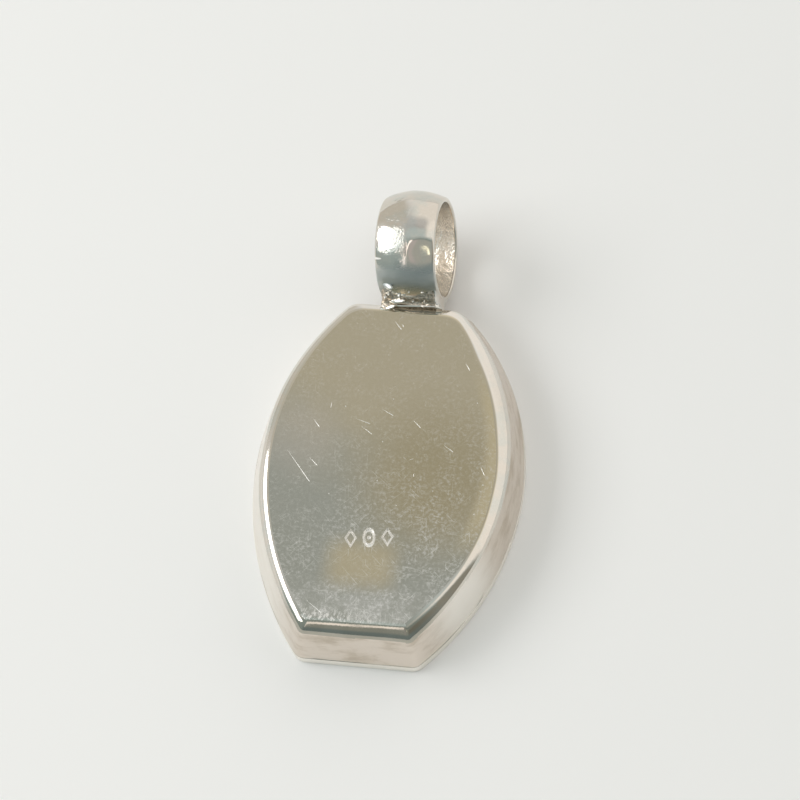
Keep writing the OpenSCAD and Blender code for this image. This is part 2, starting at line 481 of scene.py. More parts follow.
def apply_modifier(piece, kind, **settings):
    """Adds one modifier to a piece, sets it and applies it"""
    take(piece)
    bpy.ops.object.modifier_add(type=kind)
    modifier = piece.modifiers[-1]
    for key, value in settings.items():
        setattr(modifier, key, value)
    bpy.ops.object.modifier_apply(modifier=modifier.name)
    if not piece.data.polygons:
        raise RuntimeError(f"{piece.name}: {kind.lower()} left nothing of it")


def roughen(piece, size, depth, test):
    """Sinks the vertices that pass the test into the metal, in lumps of about this size"""
    texture = bpy.data.textures.new(piece.name + "_lumps", "CLOUDS")
    texture.noise_scale = size
    texture.noise_depth = 2
    group = piece.vertex_groups.new(name="lumps")
    group.add([v.index for v in piece.data.vertices if test(v.co)], 1.0, "REPLACE")
    apply_modifier(
        piece, "DISPLACE", texture=texture, strength=depth, mid_level=1.0, vertex_group=group.name
    )
    piece.vertex_groups.clear()


def volume(piece):
    mesh = bmesh.new()
    mesh.from_mesh(piece.data)
    solid = mesh.calc_volume()
    mesh.free()
    return solid


def fuse(piece, other, operation):
    """Joins another solid to a piece, or cuts it out, and uses it up. A volume that can't be right
    means that the operation failed."""
    before, added = volume(piece), volume(other)
    apply_modifier(
        piece, "BOOLEAN", object=other, operation=operation, solver="EXACT", material_mode="INDEX"
    )
    after = volume(piece)
    least, most = (before, before + added) if operation == "UNION" else (before - added, before)
    if not (1 - VOLUME_SLACK) * least < after < (1 + VOLUME_SLACK) * most:
        raise RuntimeError(f"{piece.name}: {operation.lower()} took {before} to {after} cubic millimetres")
    bpy.data.objects.remove(other)


def finish_piece(piece, smooth_to, node):
    """Brings a piece to metres, smooths its soft edges and lets it stand for its node"""
    take(piece)
    piece.scale = (MM, MM, MM)
    settle()
    bpy.ops.object.shade_smooth_by_angle(angle=smooth_to)
    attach(piece, "root")
    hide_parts(node)


class PENDANT_OT_tray(bpy.types.Operator):
    """Model the back plate, shoulder, wall, rim and stone seat as one tray"""

    bl_idname = "pendant.tray"
    bl_label = "Model the tray"

    SHOULDER_STEPS = 20
    WALL_STEPS = 8
    EDGE_STEPS = 4
    LIP_ROUND = 0.05
    # The solder seam. Columns: how far in and how far below the rim's top, as shares of its width
    SEAM = ((0, 2), (0.3, 1), (1.3, 0))
    # Rings inside the plate's edge, which keep the plate flat
    PLATE_RINGS = (0.06, 0.3)
    # A face is part of the back where its normal rises more than this, and less at the foot, and of
    # the wall where it rises less than the last
    FLAT_RISE = 0.9985
    FOOT_RISE = 0.975
    WALL_RISE = 0.34

    def rows(self, line, shoulder_r):
        """Columns: growth of the outline, height, deepest hand wear"""
        tray, turn_by, lean = line.tray, line.shoulder_turn, math.tan(line.tray.wall_lean)
        # A rounder shoulder starts further in, so that it runs into the same wall
        inset = (shoulder_r - tray.shoulder_r) * (math.sin(turn_by) - (1 - math.cos(turn_by)) * lean)
        lip = tray.seat_flare - tray.lip_over
        rows = [
            (0, line.seat_z, 0),
            (tray.seat_flare, tray.lip_h, 0),
            (lip, self.LIP_ROUND, 0),
            (lip + self.LIP_ROUND, 0, 0),
        ]
        edge = tray.rim_edge_r
        for angle in spread(0, RIGHT_ANGLE, self.EDGE_STEPS):
            rows.append((line.flare - edge * (1 - math.sin(angle)), edge * (1 - math.cos(angle)), 0))
        for further_in, below in self.SEAM:
            rows.append((line.flare - tray.seam * further_in, tray.rim_h - tray.seam * below, 0))
        wall_top = tray.depth - shoulder_r * (1 - math.cos(turn_by))
        for z in spread(tray.rim_h + tray.seam, wall_top, self.WALL_STEPS):
            rows.append((line.flare - (z - tray.rim_h) * lean, z, tray.hand_wear))
        for angle in spread(turn_by, 0, self.SHOULDER_STEPS)[1:]:
            z = tray.depth - shoulder_r * (1 - math.cos(angle))
            rows.append((shoulder_r * math.sin(angle) - inset, z, tray.hand_wear * angle / turn_by))
        return rows + [(-inset - further_in, tray.depth, 0) for further_in in self.PLATE_RINGS]

    def execute(self, context):
        line = Outline(context)
        pairs = zip(self.rows(line, line.tray.shoulder_r), self.rows(line, line.tray.foot_shoulder_r))
        tray = loft("tray", [line.blended_ring(*pair) for pair in pairs])

        def slot_at(middle, normal):
            at_foot = middle.y < line.foot_y + line.tray.foot_corner_r
            if normal.z > (self.FOOT_RISE if at_foot else self.FLAT_RISE):
                return BACK
            return POLISHED if normal.z > self.WALL_RISE else SATIN

        coat(tray, slot_at)
        return {"FINISHED"}


class PENDANT_OT_bail(bpy.types.Operator):
    """Spin the domed bail about its hole and roll it into place"""

    bl_idname = "pendant.bail"
    bl_label = "Model the bail"

    DOME_STEPS = 26
    HOLE_STEPS = 26
    TURN_STEPS = 200
    ROUND_STEPS = 4
    # Places closer than this are one
    CLOSE = 0.001
    # How far beyond the hole's radius a place on the hole's side may lie
    HOLE_REACH = 0.01
    # Hammer marks on the band. Columns: along the hole, turn from the top in degrees, reach, depth
    DENTS = ((-0.9, -2, 0.9, 0.04), (0.9, -34, 1.3, 0.05), (1.5, 30, 1.2, 0.05))

    def section(self, bail):
        """The band's section: the dome from left to right, and the hole's side back again"""
        half = bail.width / 2
        dome_r = (half**2 + bail.dome**2) / (2 * bail.dome)
        drop = bail.end_r + bail.dome - dome_r
        dome = [(x, drop + math.sqrt(dome_r**2 - x**2)) for x in spread(-half, half, self.DOME_STEPS)]
        hole = [(x, bail.bore_r) for x in spread(half, -half, self.HOLE_STEPS)]
        return [(x, 0, radius) for x, radius in dome + hole]

    def execute(self, context):
        bail = drawn(context, "bail")
        section = self.section(bail)
        clear_selection()
        bpy.ops.mesh.primitive_circle_add(vertices=len(section))
        band = name_new("bail")
        bpy.ops.object.mode_set(mode="EDIT")
        shape_ring(band, section)
        bpy.ops.mesh.spin(
            steps=self.TURN_STEPS, angle=math.tau, use_auto_merge=True, center=(0, 0, 0), axis=(1, 0, 0)
        )
        bpy.ops.mesh.select_all(action="SELECT")
        bpy.ops.mesh.remove_doubles(threshold=self.CLOSE)
        bpy.ops.mesh.normals_make_consistent(inside=False)
        half = bail.width / 2

        def from_axis(place):
            return math.hypot(place.y, place.z)

        def is_rim(first, second):
            at_end = abs(abs(first.x) - half) < self.CLOSE and abs(first.x - second.x) < self.CLOSE
            return at_end and abs(from_axis(first) - from_axis(second)) < self.CLOSE

        choose_edges(band, is_rim)
        bpy.ops.mesh.bevel(offset=bail.rim_round, segments=self.ROUND_STEPS, affect="EDGES")
        bpy.ops.object.mode_set(mode="OBJECT")

        def is_outside(place):
            return from_axis(place) > bail.end_r - bail.rim_round

        def is_inside(place):
            near_end = abs(place.x) > half - 2 * bail.rim_round
            return not near_end and from_axis(place) < bail.bore_r + self.HOLE_REACH

        coat(band, lambda middle, normal: CAST if is_inside(middle) else POLISHED)
        for vertex in band.data.vertices:
            for along, angle, reach, depth in self.DENTS:
                turned = Matrix.Rotation(math.radians(angle), 3, "X")
                centre = turned @ Vector((along, 0, bail.end_r + bail.dome))
                away = (vertex.co - centre).length / reach
                if away < 1:
                    vertex.co -= turned @ Vector((0, 0, depth * (1 - away**2) ** 2))
        roughen(band, bail.hammer_size, bail.hammer_depth, is_outside)
        roughen(band, bail.cast_size, bail.cast_depth, is_inside)
        roll_with_bail(band, bail, Outline(context).body_y + bail.up)
        return {"FINISHED"}


class PENDANT_OT_neck(bpy.types.Operator):
    """Extrude the lump of wire and solder between the wall and the bail"""

    bl_idname = "pendant.neck"
    bl_label = "Model the neck"

    AROUND = 128
    ALONG = 60
    # Exponent of the rounded section: 2 is an ellipse, and more is boxier
    BOXY = 5.0
    # Lengths of the ledge, of the groove behind it and of the stretch that widens to the bail
    LEDGE_L = 0.12
    GROOVE_L = 0.30
    WIDEN_L = 0.7
    # Metal at the right end and over the bail's hole that stays smooth
    END_SKIN = 0.15
    HOLE_SKIN = 0.1
    # Smooth drops of solder, most of them at the left. Columns: X from the neck's middle, distance
    # from the plate's end, height, half of length, width and thickness, turn in degrees
    DROPS = (
        (-1.43, 1.58, 6.33, 0.58, 0.28, 0.14, -32),
        (-0.64, 1.16, 5.60, 0.26, 0.13, 0.11, -80),
        (-0.78, 0.84, 5.16, 0.70, 0.20, 0.12, 0),
        (-1.52, 0.42, 4.86, 0.66, 0.20, 0.10, 12),
        (-1.78, 1.05, 5.34, 0.14, 0.12, 0.10, 0),
        (-1.45, 1.18, 5.62, 0.13, 0.11, 0.10, 0),
        (0.22, 1.22, 5.92, 0.09, 0.08, 0.08, 0),
        (1.24, 1.30, 5.76, 0.15, 0.08, 0.08, 0),
        (0.38, 0.92, 5.03, 0.12, 0.12, 0.08, 0),
        (1.29, 0.92, 5.02, 0.08, 0.13, 0.08, 0),
        (1.20, 0.60, 4.84, 0.08, 0.13, 0.08, 0),
    )
    # A face belongs to a drop as far as this, as a share of the drop's own size
    DROP_REACH = 1.25
    # Their flat side faces up, to the left and to the plate
    DROPS_FACE = (-0.35, -0.22, 0.91)

    def height_at(self, neck, out):
        """Height of the upper face at a distance from the plate's end"""
        past = out - neck.root - self.LEDGE_L
        if past < 0:
            return neck.ledge
        climb = min(past / (neck.high_out - neck.root - self.LEDGE_L), 1.0)
        groove = neck.groove * math.sin(math.pi * min(past / self.GROOVE_L, 1.0))
        return neck.ledge + (neck.high - neck.ledge) * climb - groove

    def width_at(self, neck, out):
        """Half the width at a distance from the plate's end"""
        near = limited((neck.waist_out - out) / (neck.waist_out - neck.root))
        past = limited((out - neck.waist_out) / self.WIDEN_L)
        return (neck.waist + (neck.foot - neck.waist) * near**2 + (neck.top - neck.waist) * past) / 2

    def ring(self, along, neck, bail, line):
        """One ring of the neck. The last ones lie inside the bail's wall and follow its curve."""
        power = 2 / self.BOXY
        start = line.half_len + neck.root
        ring = []
        for i in range(self.AROUND):
            angle = math.tau * i / self.AROUND
            across, upright = (math.copysign(abs(f(angle)) ** power, f(angle)) for f in (math.cos, math.sin))
            z = bail.height
            # Height and distance depend on each other, and a few rounds settle them
            for _ in range(3):
                reach = math.sqrt(max((bail.bore_r + neck.bite) ** 2 - (z - bail.height) ** 2, 0.0))
                first = start + neck.root_slant * (neck.ledge - z) / (neck.ledge - neck.low)
                y = first + (bail.up - reach - first) * along
                high = self.height_at(neck, y - line.half_len)
                z = (high + neck.low) / 2 + upright * (high - neck.low) / 2
            x = across * self.width_at(neck, y - line.half_len)
            ring.append((x, y + line.body_y, z - bail.height))
        return ring

    def add_drops(self, bail, line):
        """Flattened balls for the drops of solder"""
        face = Vector(self.DROPS_FACE).normalized()
        along = (Vector((1, 0, 0)) - face * face.x).normalized()
        facing = Matrix((along, face.cross(along), face)).transposed().to_4x4()
        drops = []
        for x, out, z, *half_sizes, turned in self.DROPS:
            clear_selection()
            bpy.ops.mesh.primitive_uv_sphere_add(segments=24, ring_count=12)
            drop = name_new("drop")
            drop.matrix_world = (
                Matrix.Translation((x, line.top_y + out, z - bail.height))
                @ facing
                @ Matrix.Rotation(math.radians(turned), 4, "Z")
                @ Matrix.Diagonal((*half_sizes, 1))
            )
            drops.append(drop)
        return drops

    def execute(self, context):
        neck = drawn(context, "neck")
        bail = drawn(context, "bail")
        line = Outline(context)
        lump = loft("neck", [self.ring(along, neck, bail, line) for along in spread(0, 1, self.ALONG)])
        drops = self.add_drops(bail, line)
        from_drops = [drop.matrix_world.inverted() for drop in drops]
        take(lump, *drops)
        bpy.ops.object.join()
        apply_modifier(lump, "REMESH", mode="VOXEL", voxel_size=neck.melt)
        end_x = neck.waist / 2 - self.END_SKIN
        first_y = line.top_y + neck.root + self.LEDGE_L
        bail_y = line.body_y + bail.up

        def on_drop(place):
            return any((from_drop @ place).length < self.DROP_REACH for from_drop in from_drops)

        def slot_at(middle, normal):
            on_ledge = middle.y < first_y and normal.z > 0.5
            return POLISHED if middle.x > end_x or on_ledge or on_drop(middle) else CAST

        def is_between(place):
            over_hole = math.hypot(place.y - bail_y, place.z) - bail.bore_r - neck.bite
            on_front = place.x < end_x and place.y > first_y and over_hole > self.HOLE_SKIN
            return on_front and not on_drop(place)

        coat(lump, slot_at)
        roughen(lump, neck.lump_size, neck.lump_depth, is_between)
        roll_with_bail(lump, bail, 0)
        return {"FINISHED"}


class PENDANT_OT_setting(bpy.types.Operator):
    """Solder tray, neck and bail into one piece, strike its marks and scratch its back"""

    bl_idname = "pendant.setting"
    bl_label = "Solder and mark the setting"

    SMOOTH_TO = math.radians(38)
    SCRATCH_W = 0.026
    SCRATCH_SIDES = 6
    # Sides of the marks, two diamonds with an oval between them, and the radius of the oval's dot
    MARK_SIDES = (4, 48, 4)
    DOT_R = 0.16

    def strike(self, marks, line):
        """Cutters for the row of marks"""
        row = Matrix.Translation((marks.side, line.body_y + marks.up, line.tray.depth))
        row @= Matrix.Rotation(marks.tilt, 4, "Z")
        inner_h = marks.height - marks.stroke
        cutters = []
        for i, sides in enumerate(self.MARK_SIDES):
            clear_selection()
            bpy.ops.mesh.primitive_torus_add(
                major_radius=inner_h / 2,
                minor_radius=marks.stroke / 2,
                major_segments=sides,
                minor_segments=12,
            )
            mark = name_new("mark")
            bpy.ops.object.mode_set(mode="EDIT")
            bpy.ops.transform.resize(value=((marks.width - marks.stroke) / inner_h, 1, 1))
            bpy.ops.object.mode_set(mode="OBJECT")
            mark.location = row @ Vector(((i - 1) * marks.pitch, 0, 0))
            mark.rotation_euler = (0, 0, marks.tilt)
            cutters.append(mark)
        clear_selection()
        bpy.ops.mesh.primitive_uv_sphere_add(
            segments=16, ring_count=8, radius=self.DOT_R, location=row.translation
        )
        return cutters + [name_new("mark_dot")]

    def scratch(self, line):
        """Cutters for the scratches and pits: long thin cones that lie in the plate's face, and balls"""
        cutters = []
        face = line.tray.depth
        for x, y, long, angle in SCRATCHES:
            clear_selection()
            bpy.ops.mesh.primitive_cone_add(
                vertices=self.SCRATCH_SIDES,
                radius1=self.SCRATCH_W,
                radius2=self.SCRATCH_W / 4,
                depth=long,
                location=(x, y + line.body_y, face + self.SCRATCH_W / 3),
                rotation=(RIGHT_ANGLE, 0, math.radians(angle) - RIGHT_ANGLE),
            )
            cutters.append(name_new("scratch"))
        for x, y, radius in PITS:
            clear_selection()
            bpy.ops.mesh.primitive_ico_sphere_add(
                subdivisions=1, radius=radius, location=(x, y + line.body_y, face + radius / 4)
            )
            cutters.append(name_new("pit"))
        return cutters

    def nick(self, bail, line):
        """Cutter for the nick in the bail: a slim cone that lies across its left rim"""
        place = Matrix.Translation((bail.side, line.body_y + bail.up, bail.height))
        place @= Matrix.Rotation(-bail.roll, 4, "Y") @ Matrix.Rotation(bail.nick_turn, 4, "X")
        place @= Matrix.Translation((-bail.width / 2, 0, bail.end_r))
        slope = 2 * math.atan(2 * bail.dome / bail.width)
        clear_selection()
        bpy.ops.mesh.primitive_cone_add(
            vertices=12, radius1=bail.nick_w / 2, radius2=bail.nick_w / 8, depth=2 * bail.nick_l
        )
        cutter = name_new("nick")
        cutter.matrix_world = place @ Matrix.Rotation(RIGHT_ANGLE - slope, 4, "Y")
        return cutter

    def execute(self, context):
        line = Outline(context)
        bail = drawn(context, "bail")
        setting = rename(bpy.data.objects["tray"], "silver_setting")
        fuse(setting, bpy.data.objects["neck"], "UNION")
        fuse(setting, bpy.data.objects["bail"], "UNION")
        cutters = self.strike(drawn(context, "marks"), line) + self.scratch(line) + [self.nick(bail, line)]
        for cutter in cutters:
            coat(cutter, lambda middle, normal: STRUCK)
        take(*cutters)
        settle()
        bpy.ops.object.join()
        fuse(setting, cutters[0], "DIFFERENCE")
        finish = drawn(context, "finish")
        back_silver(finish, line)
        polished_silver(finish, line, bail)
        satin_silver(finish, line)
        cast_silver(finish, line, bail)
        struck_silver(finish)
        finish_piece(setting, self.SMOOTH_TO, "setting")
        self.sharpen_cuts(setting)
        return {"FINISHED"}

    def sharpen_cuts(self, setting):
        """Keeps the edge between the flat back and each struck mark or scratch crisp"""
        take(setting)
        bpy.ops.object.mode_set(mode="EDIT")
        bpy.ops.mesh.select_mode(type="FACE")
        bpy.ops.mesh.select_all(action="DESELECT")
        setting.active_material_index = STRUCK
        bpy.ops.object.material_slot_select()
        bpy.ops.mesh.region_to_loop()
        bpy.ops.mesh.mark_sharp()
        bpy.ops.object.mode_set(mode="OBJECT")


class PENDANT_OT_shell(bpy.types.Operator):
    """Model the slab of spiny oyster shell in its seat"""

    bl_idname = "pendant.shell"
    bl_label = "Model the shell slab"

    DOME_STEPS = 14
    # The dome's innermost ring, as a share of the slab's outline
    DOME_HEART = 0.06
    BEVEL_STEPS = 4
    # Clearance from the floor of the seat
    FLOOR_GAP = 0.01
    SMOOTH_TO = math.radians(50)

    def execute(self, context):
        shell = drawn(context, "shell")
        line = Outline(context)
        tray = line.tray
        widest = tray.seat_flare - shell.gap
        edge = line.ring(widest - shell.bevel, shell.edge_z)
        rings = []
        for part in spread(self.DOME_HEART, 1, self.DOME_STEPS):
            z = shell.crown_z + (shell.edge_z - shell.crown_z) * part**2
            rings.append([(x * part, line.body_y + (y - line.body_y) * part, z) for x, y, _ in edge])
        for angle in spread(0, RIGHT_ANGLE, self.BEVEL_STEPS)[1:]:
            growth = widest - shell.bevel * (1 - math.sin(angle))
            rise = (tray.lip_h + shell.gap - shell.edge_z) * (1 - math.cos(angle))
            rings.append(line.ring(growth, shell.edge_z + rise))
        rings.append(line.ring(-shell.gap, line.seat_z - self.FLOOR_GAP))
        slab = loft("shell_slab", rings)
        slab.data.materials.append(oyster_shell(drawn(context, "finish")))
        finish_piece(slab, self.SMOOTH_TO, "stone")
        return {"FINISHED"}


class Nodes:
    """The nodes of one material or world, added in short steps"""

    def __init__(self, owner):
        owner.use_nodes = True
        self.tree = owner.node_tree
        self.tree.nodes.clear()

    def plug(self, node, inputs):
        """Links each input that is another node's socket, and sets any other"""
        for key, value in inputs.items():
            if isinstance(value, bpy.types.NodeSocket):
                self.tree.links.new(value, node.inputs[key])
            else:
                node.inputs[key].default_value = value

    def add(self, kind, inputs=None, **settings):
        """Adds one node"""
        node = self.tree.nodes.new("ShaderNode" + kind)
        for key, value in settings.items():
            setattr(node, key, value)
        self.plug(node, inputs or {})
        return node

    def between(self, value, low, high, to_low=0.0, to_high=1.0):
        """The value, mapped smoothly from one range to another"""
        inputs = {"Value": value, "From Min": low, "From Max": high, "To Min": to_low, "To Max": to_high}
        return self.add("MapRange", inputs, interpolation_type="SMOOTHSTEP").outputs[0]

    def reckon(self, operation, first, *others):
        """Takes in one value after another"""
        for other in others:
            first = self.add("Math", {0: first, 1: other}, operation=operation).outputs[0]
        return first

    def plus(self, *values):
        return self.reckon("ADD", *values)

    def less(self, *values):
        return self.reckon("SUBTRACT", *values)

    def times(self, *values):
        return self.reckon("MULTIPLY", *values)

    def most(self, *values):
        return self.reckon("MAXIMUM", *values)

    def blend(self, factor, first, rgb):
        """One colour over another"""
        inputs = {"Factor": factor, "A": first, "B": (*rgb, 1.0)}
        return self.add("Mix", inputs, data_type="RGBA").outputs["Result"]


class Surface(Nodes):
    """A material in the making: its colour so far is in tint, and X, Y and Z are in millimetres"""

    def __init__(self, name, rgb, angle=0.0):
        self.material = material_named(name)
        super().__init__(self.material)
        self.shader = self.add("BsdfPrincipled")
        self.add("OutputMaterial", {"Surface": self.shader.outputs[0]})
        self.where = self.place(angle)
        self.x, self.y, self.z = self.add("SeparateXYZ", {0: self.where}).outputs
        self.tint = (*rgb, 1.0)

    def place(self, angle=0.0, stretch=(1, 1, 1)):
        """Object coordinates in millimetres, turned about Z and then stretched"""
        coordinates = self.add("TexCoord").outputs["Object"]
        turned = self.add("Mapping", {"Vector": coordinates, "Rotation": (0, 0, angle)}).outputs[0]
        scale = tuple(factor / MM for factor in stretch)
        return self.add("Mapping", {"Vector": turned, "Scale": scale}).outputs[0]

    def cloud(self, per_mm, detail=2.0, roughness=0.5, where=None):
        """Soft noise with this many lumps in a millimetre"""
        inputs = {"Vector": where or self.where, "Scale": per_mm, "Detail": detail, "Roughness": roughness}
        return self.add("TexNoise", inputs).outputs[0]

    def near(self, place, far, close, most=1.0):
        """A spot round a place, from nothing as far as the first distance to its most at the second"""
        away = self.add("VectorMath", {0: self.where, 1: place}, operation="DISTANCE").outputs["Value"]
        return self.between(away, far, close, 0.0, most)

    def hairlines(self, directions, threshold):
        """Broken straight scratches that run several ways: 1 on a scratch"""
        found = []
        for angle, long_per_mm, across_per_mm in directions:
            where = self.place(angle, (long_per_mm, across_per_mm, across_per_mm))
            found.append(self.between(self.cloud(1.0, 1.0, where=where), threshold, threshold + 0.04))
        return self.most(*found)

    def paint(self, mask, rgb):
        """Lays a colour over the tint where the mask says so"""
        self.tint = self.blend(mask, self.tint, rgb)

    def complete(self, roughness, bumps, **shine):
        """Sets the shader. Bumps are heights with their depths, from the widest to the finest."""
        inputs = {"Base Color": self.tint, "Roughness": roughness, "Metallic": 1.0}
        for height, depth in bumps:
            bump = {"Height": height, "Distance": depth * MM, "Strength": 1.0}
            if "Normal" in inputs:
                bump["Normal"] = inputs["Normal"]
            inputs["Normal"] = self.add("Bump", bump).outputs[0]
        inputs.update((key.replace("_", " "), value) for key, value in shine.items())
        self.plug(self.shader, inputs)
        return self.material


def back_silver(finish, line):
    """Back plate: a worn mirror, with four tarnishes, a fine grain and faint scratches"""
    back = Surface("back_silver", finish.cool)
    x, y, between, times = back.x, back.y, back.between, back.times
    depth = line.tray.depth
    # The cool tarnish lies at the lower left, below a line from the right foot to the left side,
    # and a patch with soft edges under the marks is as khaki as the upper half
    lean = back.plus(y, times(x, 0.45), times(back.cloud(0.16, 3.0), 7.0))
    patch = 1.0
    for value, middle, half in ((x, -0.6, 3.5), (y, line.body_y - 8.1, 2.8)):
        for side in (-1, 1):
            patch = times(patch, between(value, middle + side * half, middle + side * (half - 2.3)))
    back.paint(back.most(between(lean, -6.0, 3.5), patch), finish.khaki)
    back.paint(back.near((4.2, line.body_y - 0.8, depth), 9.0, 1.5), finish.brown)
    back.paint(back.near((-6.8, line.body_y + 1.8, depth), 4.5, 1.0, 0.22), finish.satin)
    back.paint(times(patch, 0.45), finish.yellow)
    side_r = line.tray.upper_side_r
    side_middle = (line.tray.plate_w / 2 - side_r, line.body_y + line.tray.widest_up, depth)
    yellow = times(
        back.near(side_middle, side_r - 1.4, side_r - 0.4),
        between(y, line.body_y - 7.5, line.body_y - 3.0),
        between(y, line.body_y + 9.5, line.body_y + 5.0),
    )
    back.paint(yellow, finish.yellow)
    # Grain and faint scratches lie in clusters, and are stronger towards the foot and the right
    clusters = between(back.cloud(0.75), 0.36, 0.62, 0.40, 1.40)
    worn = times(between(back.less(times(x, 0.4), y), -2.0, 15.0, 0.25, 1.0), clusters)
    grain = back.cloud(3.6, 5.0, 0.75)
    rubbed = times(between(grain, 0.44, 0.68, 0.0, 0.48), worn, back.less(1.0, times(patch, 0.75)))
    # At the foot's edge the back is hazy, and rubbed bright in short strokes
    strokes = times(
        between(back.cloud(2.6, 3.0, 0.7, back.place(0.1, (2.6, 1.0, 1.0))), 0.46, 0.62, 0.0, 0.8),
        between(y, line.foot_y + 1.5, line.foot_y + 0.1),
        between(x, 3.0, -3.0, 0.3, 1.2),
    )
    hazy = between(y, line.foot_y + 4.0, line.foot_y + 0.8, 0.0, 0.27)
    back.paint(back.plus(back.most(rubbed, strokes), times(hazy, clusters)), finish.clean)
    # Columns: direction, lumps in a millimetre along it and across it
    directions = [(0.75, 0.7, 11.0), (-0.9, 0.5, 10.0), (0.15, 0.8, 11.0)]
    directions += [(1.5, 0.7, 11.0), (2.4, 0.4, 10.0)]
    scuffs = times(back.hairlines(directions, 0.70), worn, 0.36)
    back.paint(scuffs, finish.clean)
    roughness = back.plus(between(grain, 0.35, 0.7, 0.17, 0.27), times(scuffs, 0.25), times(strokes, 0.25))
    return back.complete(roughness, ((back.cloud(0.35), 0.008), (grain, 0.0007), (scuffs, 0.002)))


def polished_silver(finish, line, bail):
    """Shoulder and band: a bright polish with haze, hammer marks on the band, and painted dark reflections
    at the shoulder's foot and on the band's lower front
    """
    bright = Surface("polished_silver", finish.polish)
    x, y, z, between, times = bright.x, bright.y, bright.z, bright.between, bright.times
    bail_y = line.body_y + bail.up
    lumps = bright.cloud(0.8, 3.0)
    grain = bright.cloud(5.0, 3.0, 0.7)
    bright.paint(between(lumps, 0.42, 0.68, 0.0, 0.6), finish.haze)
    bright.paint(between(grain, 0.5, 0.8, 0.0, 0.25), finish.clean)
    # The shoulder is rubbed cleaner towards the bail
    on_bail = between(y, line.top_y + 1.2, line.top_y + 1.6)
    cleaner = between(y, line.body_y + 3.0, line.body_y + 11.0, 0.0, 0.45)
    bright.paint(times(cleaner, bright.less(1.0, on_bail)), finish.clean)
    # The band's lower front, by the neck, is painted dark teal: a painted reflection of the dark things in
    # front of it, in place of the bright table
    left_x, right_x = bail.side - bail.width / 2, bail.side + bail.width / 2
    further = bright.less(y, between(x, left_x + 1.4, left_x + 0.2, 0.0, 0.2))
    not_at_right = between(x, right_x - 0.1, right_x - 0.35)
    joint_dark_reflection = times(between(further, bail_y - 2.6, bail_y - 3.9), on_bail, not_at_right)
    bright.paint(joint_dark_reflection, finish.joint_dark_reflection)
    # The shoulder's foot is painted dark and mottled darker still: painted shade standing in for the dark
    # front that it reflects
    at_foot = between(y, line.foot_y + 2.5, line.foot_y - 0.1)
    bright.paint(at_foot, finish.foot_dark_reflection)
    bright.paint(times(at_foot, between(bright.cloud(0.35), 0.42, 0.58, 0.0, 0.15)), finish.soot_and_shade)
    # The back's tarnish runs out over the shoulder's edge
    over_edge = times(
        between(z, line.tray.depth - 0.04, line.tray.depth - 0.01, 0.0, 0.9),
        between(z, line.tray.depth + 0.05, line.tray.depth + 0.02),
        between(x, -5.0, -2.0, 0.4, 1.0),
        between(y, line.foot_y + 4.0, line.foot_y + 8.0),
    )
    bright.paint(over_edge, finish.khaki)
    # The band's finer texture comes and goes in patches, and is strongest right of its highlight
    frost = bright.near((-0.4, line.top_y + 4.1, 8.9), 1.5, 0.6)
    patches = bright.most(between(lumps, 0.48, 0.64, 0.0, 0.4), frost)
    pitted = times(bright.cloud(5.5, 3.0, 0.65), patches, on_bail, between(x, 0.1, -0.2))
    roughness = bright.plus(between(lumps, 0.35, 0.7, 0.06, 0.13), times(joint_dark_reflection, 0.30))
    return bright.complete(roughness, ((bright.cloud(0.9), 0.004), (pitted, 0.055), (grain, 0.0012)))


def satin_silver(finish, line):
    """Wall and rim: soft tumbled silver with cloudy grey patches along the wall and a paler rim"""
    wall = Surface("satin_silver", finish.satin)
    patches = wall.cloud(1.0, 4.0, 0.6, wall.place(0.0, (0.35, 0.35, 1.0)))
    grain = wall.cloud(3.5, 4.0, 0.7)
    wall.paint(wall.between(patches, 0.45, 0.72), finish.satin_dark)
    wall.paint(wall.between(grain, 0.5, 0.8, 0.0, 0.2), finish.clean)
    # Paler along the left side and low on the right, and palest on the rim. Low on the right and on the rim
    # the paler colour is a painted brighter reflection, in place of the shadowed table that these faces
    # reflect
    low_right = (line.tray.plate_w / 2 - 1.6, line.body_y - line.half_len * 0.72, line.tray.depth / 2)
    paler = wall.most(wall.between(wall.x, -4.5, -8.0, 0.0, 0.8), wall.near(low_right, 5.0, 1.0, 0.95))
    wall.paint(paler, finish.pale_satin_and_sheen)
    rim_h = line.tray.rim_h
    wall.paint(wall.between(wall.z, rim_h + 0.05, rim_h - 0.1, 0.0, 0.95), finish.pale_satin_and_sheen)
    roughness = wall.between(patches, 0.35, 0.7, 0.28, 0.40)
    return wall.complete(roughness, ((wall.cloud(1.1, 3.0), 0.009), (grain, 0.003)))


def cast_silver(finish, line, bail):
    """Neck and inside of the band: rough casting, with dark solder on the neck, sooty hollows and painted
    shade on the far part of the inside
    """
    cast = Surface("cast_silver", finish.cast)
    y, between = cast.y, cast.between
    grain = cast.cloud(5.0, 3.0, 0.65)
    bail_y = line.body_y + bail.up
    cast.paint(between(y, bail_y + 2.4, bail_y + 0.4), finish.copper)
    # The far part of the inside is painted darker: painted shade inside the band's hole
    cast.paint(between(y, bail_y + 2.2, bail_y + 3.4), finish.far_inside_shade)
    hole_y = bail_y - bail.bore_r
    on_neck = between(y, hole_y, hole_y - 0.15)
    cast.paint(on_neck, finish.solder)
    cast.paint(between(cast.less(grain, cast.times(on_neck, 0.1)), 0.40, 0.28), finish.soot_and_shade)
    roughness = between(grain, 0.35, 0.7, 0.26, 0.10)
    return cast.complete(roughness, ((cast.cloud(1.6, 3.0, 0.6), 0.10), (grain, 0.03)), Metallic=0.85)


def struck_silver(finish):
    """Marks and scratches: bare bright metal with a fine grain"""
    cut = Surface("struck_silver", finish.struck)
    grain = cut.cloud(8.0)
    cut.paint(cut.between(grain, 0.35, 0.65), finish.clean)
    return cut.complete(cut.between(grain, 0.3, 0.7, 0.35, 0.5), ((grain, 0.01),), Metallic=0.7)


